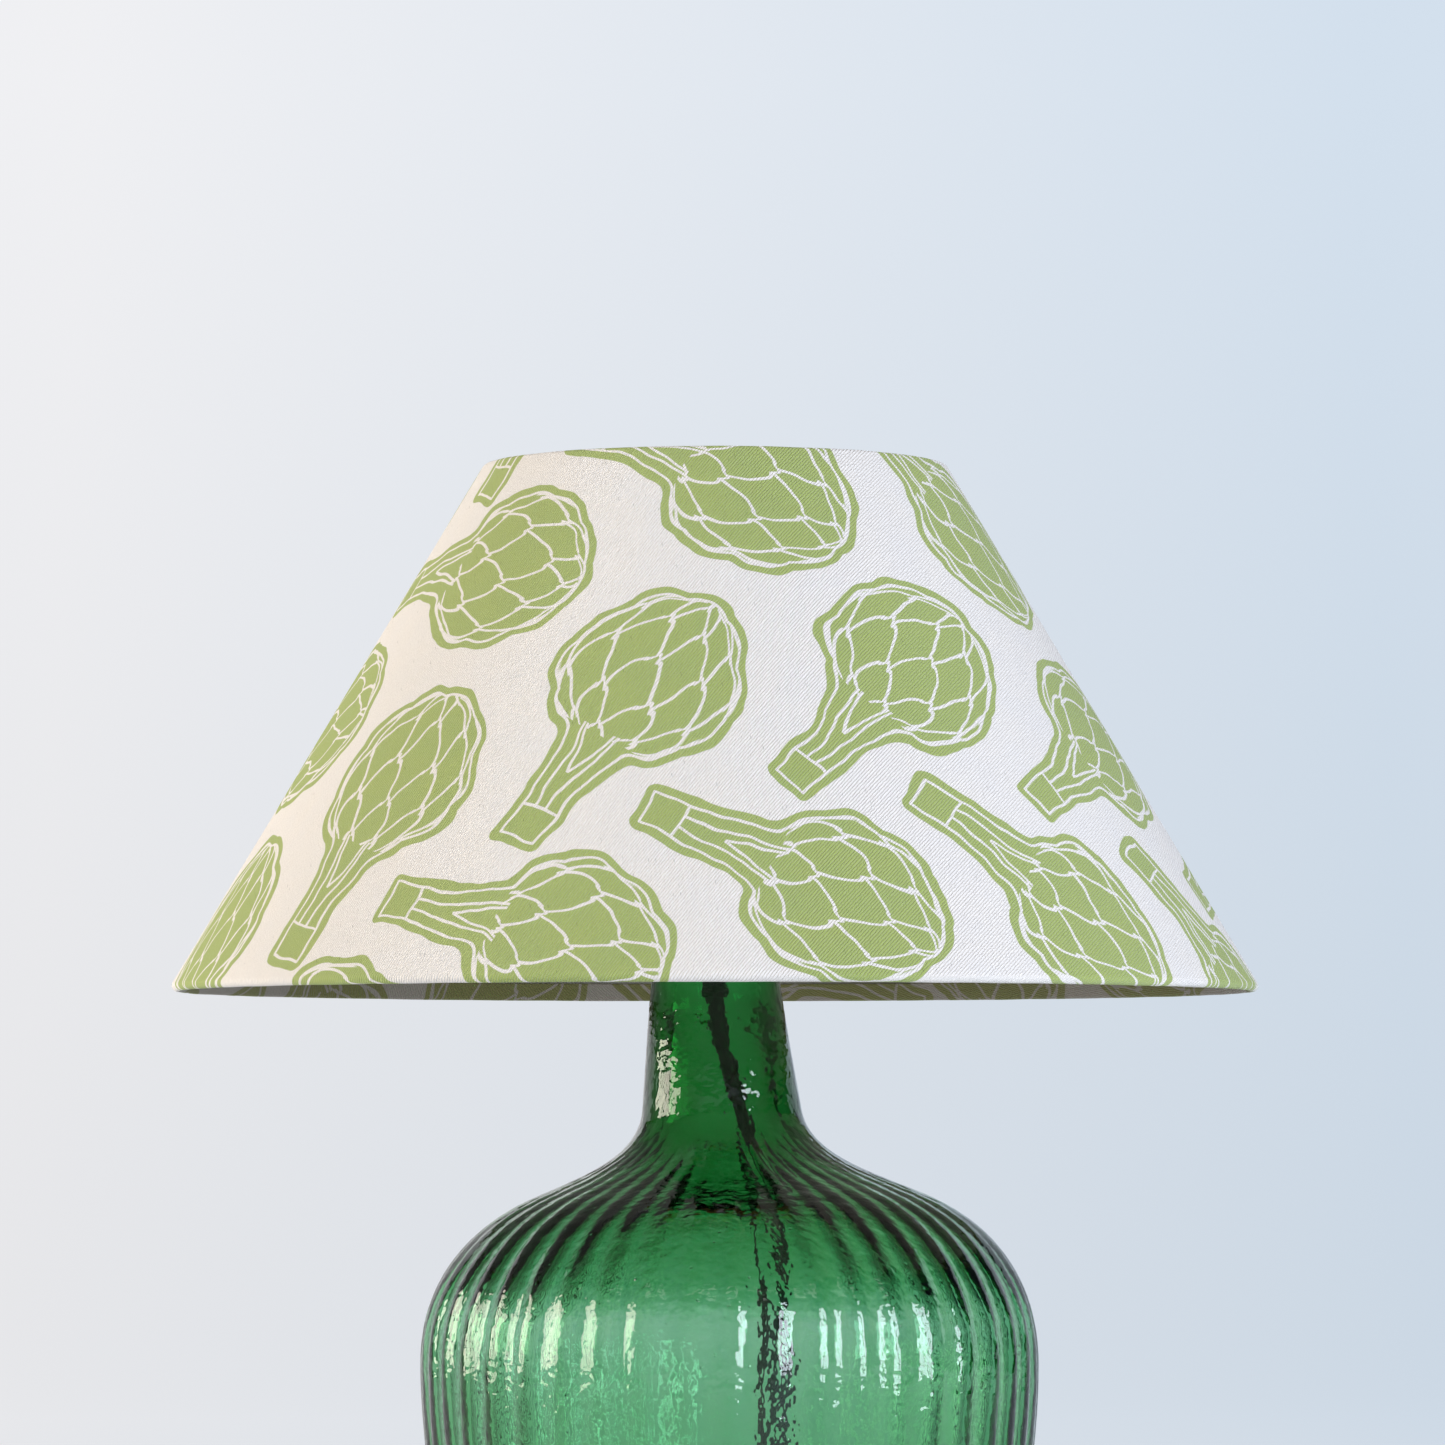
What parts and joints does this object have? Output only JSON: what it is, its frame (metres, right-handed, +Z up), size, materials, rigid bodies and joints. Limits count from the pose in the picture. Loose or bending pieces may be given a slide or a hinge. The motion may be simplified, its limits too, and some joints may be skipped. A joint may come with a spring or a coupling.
{
  "type": "table lamp",
  "caption": "Table lamp with a ribbed green glass bottle base, a brass lampholder and a tapered cloth shade printed with artichokes.",
  "frame": {"origin": "on the table, straight under the lampholder, at the middle of the shade's footprint", "axes": "+Z up along the lampholder, +Y towards the back, where the cord leaves"},
  "size_m": [0.4494, 0.4494, 0.549],
  "materials": {
    "green_glass": "clear deep green, hand blown",
    "opal_glass": "opal white",
    "brass": "satin",
    "nickel": "nickel plate",
    "white_wire": "white epoxy coat",
    "porcelain": "glazed",
    "black_rubber": "matte",
    "clear_silicone": "translucent",
    "cord_cover": "black, smooth",
    "black_plastic": "satin black",
    "red_plastic": "gloss",
    "printed_cloth": "off-white twill with a green print",
    "shade_lining": "off-white sheet"
  },
  "bodies": {
    "lamp": {"bottle": "green_glass", "bulb_cap": "nickel", "bulb_contact": "nickel", "bulb_glass": "opal_glass", "bulb_insulator": "black_rubber", "bung_nut": "brass", "bung_washer": "nickel", "cap_nut": "brass", "carrier_base": "brass", "carrier_top_ring": "brass", "carrier_wire_left": "brass", "carrier_wire_right": "brass", "centre_contact": "brass", "cord_coil": "cord_cover", "cord_grommet": "black_rubber", "cord_lead": "cord_cover", "cord_tail": "cord_cover", "foot_1": "clear_silicone", "foot_2": "clear_silicone", "foot_3": "clear_silicone", "foot_4": "clear_silicone", "fuse_carrier": "red_plastic", "holder_cap": "brass", "holder_insert": "porcelain", "holder_skirt": "brass", "inner_flex": "cord_cover", "neck_bung": "black_rubber", "neck_cap": "brass", "plug_body": "black_plastic", "plug_pin_earth": "brass", "plug_pin_line": "brass", "plug_pin_neutral": "brass", "plug_strain_relief": "black_plastic", "screw_shell": "brass", "shade_arm_1": "white_wire", "shade_arm_2": "white_wire", "shade_arm_3": "white_wire", "shade_bottom_ring": "white_wire", "shade_cloth": "printed_cloth", "shade_hub_ring": "white_wire", "shade_liner": "shade_lining", "shade_ring_lower": "brass", "shade_ring_upper": "brass", "shade_top_ring": "white_wire", "threaded_tube": "brass"},
    "switch_key": {"switch_key": "brass"}
  },
  "joints": [
    {"name": "key_turn", "type": "hinge", "parent": "lamp", "child": "switch_key", "pos_m": [0.03, 0, 0.4113], "axis": [1, 0, 0], "range_deg": [0, 90]}
  ]
}
